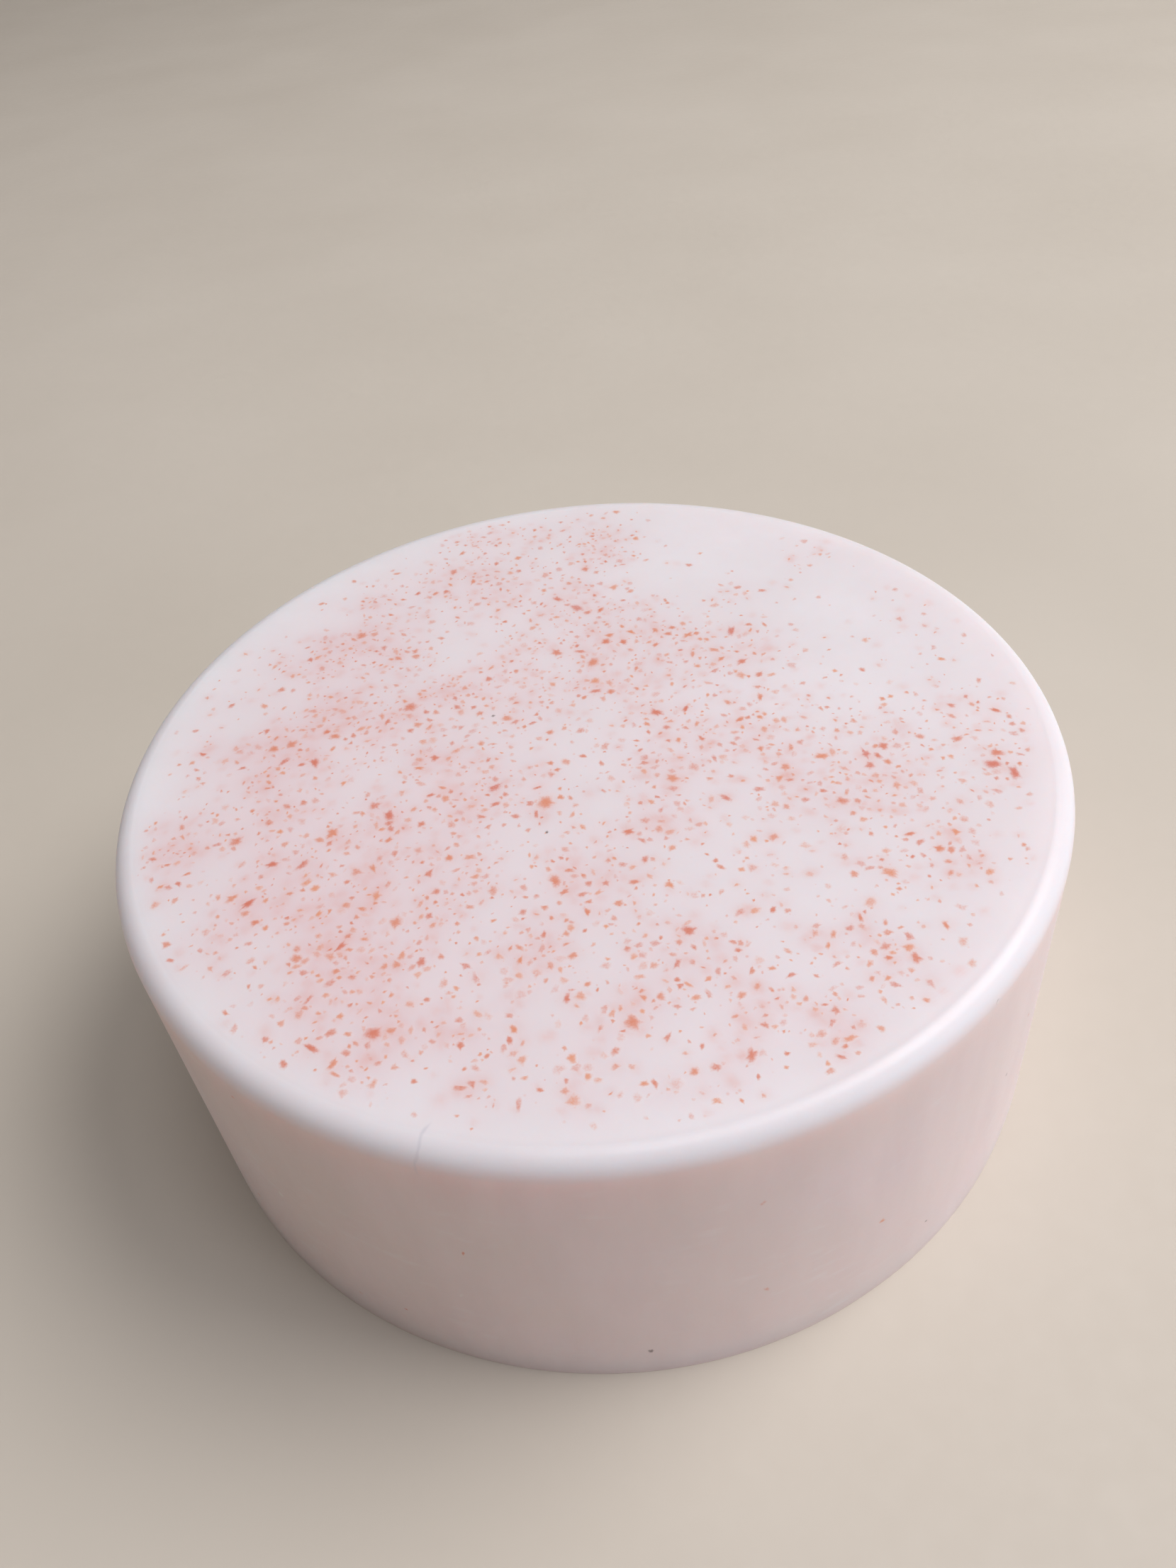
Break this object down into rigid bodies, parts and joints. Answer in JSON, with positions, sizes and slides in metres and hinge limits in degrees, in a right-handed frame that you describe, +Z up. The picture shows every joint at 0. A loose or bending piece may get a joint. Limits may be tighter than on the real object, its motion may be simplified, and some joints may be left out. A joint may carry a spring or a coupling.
{
  "type": "shaving soap puck",
  "caption": "Round cast puck of pale translucent soap with a slight draft, a softly rounded top rim and red-orange grains settled into its top face, for lathering in a shaving bowl.",
  "frame": {"origin": "centre of the underside, on the face that the puck rests on", "axes": "+Z up out of the speckled top face, +X to the right and +Y to the back of the puck as pictured, -Y to the viewer"},
  "size_m": [0.075, 0.075, 0.0284],
  "materials": {
    "soap": "satin, slightly translucent",
    "red_grain": "matt, granular",
    "dark_fleck": "matt"
  },
  "bodies": {
    "root": {"soap_body": "soap", "coarse_grain_01": "red_grain", "coarse_grain_02": "red_grain", "coarse_grain_03": "red_grain", "coarse_grain_04": "red_grain", "coarse_grain_05": "red_grain", "coarse_grain_06": "red_grain", "coarse_grain_07": "red_grain", "coarse_grain_08": "red_grain", "coarse_grain_09": "red_grain", "coarse_grain_10": "red_grain", "coarse_grain_11": "red_grain", "coarse_grain_12": "red_grain", "coarse_grain_13": "red_grain", "coarse_grain_14": "red_grain", "coarse_grain_15": "red_grain", "coarse_grain_16": "red_grain", "coarse_grain_17": "red_grain", "coarse_grain_18": "red_grain", "coarse_grain_19": "red_grain", "coarse_grain_20": "red_grain", "coarse_grain_21": "red_grain", "coarse_grain_22": "red_grain", "coarse_grain_23": "red_grain", "coarse_grain_24": "red_grain", "coarse_grain_25": "red_grain", "coarse_grain_26": "red_grain", "coarse_grain_27": "red_grain", "coarse_grain_28": "red_grain", "coarse_grain_29": "red_grain", "coarse_grain_30": "red_grain", "coarse_grain_31": "red_grain", "coarse_grain_32": "red_grain", "coarse_grain_33": "red_grain", "coarse_grain_34": "red_grain", "coarse_grain_35": "red_grain", "coarse_grain_36": "red_grain", "coarse_grain_37": "red_grain", "coarse_grain_38": "red_grain", "coarse_grain_39": "red_grain", "coarse_grain_40": "red_grain", "coarse_grain_41": "red_grain", "coarse_grain_42": "red_grain", "coarse_grain_43": "red_grain", "coarse_grain_44": "red_grain", "coarse_grain_45": "red_grain", "coarse_grain_46": "red_grain", "coarse_grain_47": "red_grain", "coarse_grain_48": "red_grain", "dark_specks": "dark_fleck", "fine_grains": "red_grain", "medium_grains": "red_grain"}
  },
  "joints": []
}
